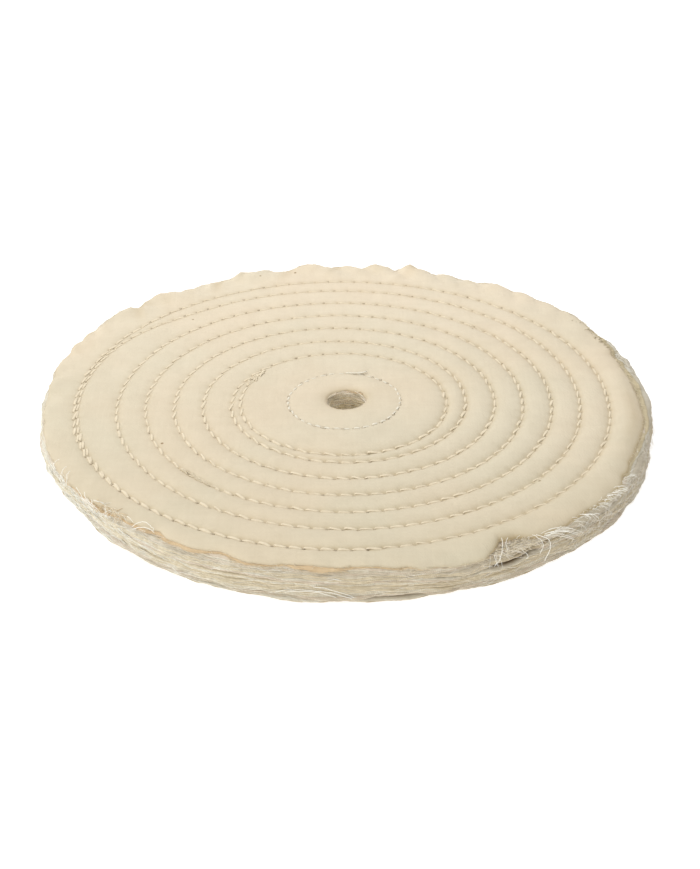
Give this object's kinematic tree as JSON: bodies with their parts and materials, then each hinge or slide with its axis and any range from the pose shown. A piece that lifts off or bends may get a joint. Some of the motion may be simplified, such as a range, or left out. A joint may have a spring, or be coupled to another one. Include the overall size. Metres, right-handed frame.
{
  "type": "buffing wheel",
  "caption": "Spiral-sewn cotton buffing wheel: a stack of round cloth plies held by a hub circle and a long spiral of lockstitch, with a raw rim and an arbor hole",
  "frame": {"origin": "On the wheel's axis, at the height of the surface that the wheel lies on: the lowest point of the underside's thread.", "axes": "+Z is the wheel's axis, up out of the face with the needle thread. +X is to the right and -Y towards a viewer in the rest view."},
  "size_m": [0.2032, 0.2032, 0.0111],
  "materials": {
    "cover_cloth": "unbleached cotton sheeting, plain weave, matt",
    "tan_cloth": "golden tan cotton sheeting, plain weave, matt",
    "inner_cloth": "off-white to greyish cotton sheeting with frayed edges, matt",
    "seam_thread": "thick cream-gold twisted cotton thread",
    "hub_thread": "thinner whitish twisted cotton thread"
  },
  "bodies": {
    "root": {"bottom_cover_ply": "cover_cloth", "inner_ply_01": "inner_cloth", "inner_ply_02": "inner_cloth", "inner_ply_03": "inner_cloth", "inner_ply_04": "inner_cloth", "inner_ply_05": "inner_cloth", "inner_ply_06": "inner_cloth", "inner_ply_07": "inner_cloth", "inner_ply_08": "inner_cloth", "inner_ply_09": "inner_cloth", "inner_ply_10": "inner_cloth", "inner_ply_11": "inner_cloth", "inner_ply_12": "inner_cloth", "inner_ply_13": "inner_cloth", "inner_ply_14": "inner_cloth", "inner_ply_15": "inner_cloth", "inner_ply_16": "inner_cloth", "inner_ply_17": "inner_cloth", "inner_ply_18": "inner_cloth", "inner_ply_19": "inner_cloth", "inner_ply_20": "inner_cloth", "inner_ply_21": "inner_cloth", "inner_ply_22": "inner_cloth", "inner_ply_23": "inner_cloth", "inner_ply_24": "inner_cloth", "inner_ply_25": "inner_cloth", "inner_ply_26": "inner_cloth", "inner_ply_27": "inner_cloth", "inner_ply_28": "inner_cloth", "inner_ply_29": "inner_cloth", "inner_ply_30": "inner_cloth", "inner_ply_31": "inner_cloth", "inner_ply_32": "inner_cloth", "inner_ply_33": "inner_cloth", "inner_ply_34": "inner_cloth", "inner_ply_35": "inner_cloth", "inner_ply_36": "inner_cloth", "inner_ply_37": "inner_cloth", "tan_ply": "tan_cloth", "top_cover_ply": "cover_cloth", "hub_bobbin_thread": "hub_thread", "hub_needle_thread": "hub_thread", "spiral_bobbin_thread": "seam_thread", "spiral_needle_thread": "seam_thread"}
  },
  "joints": []
}
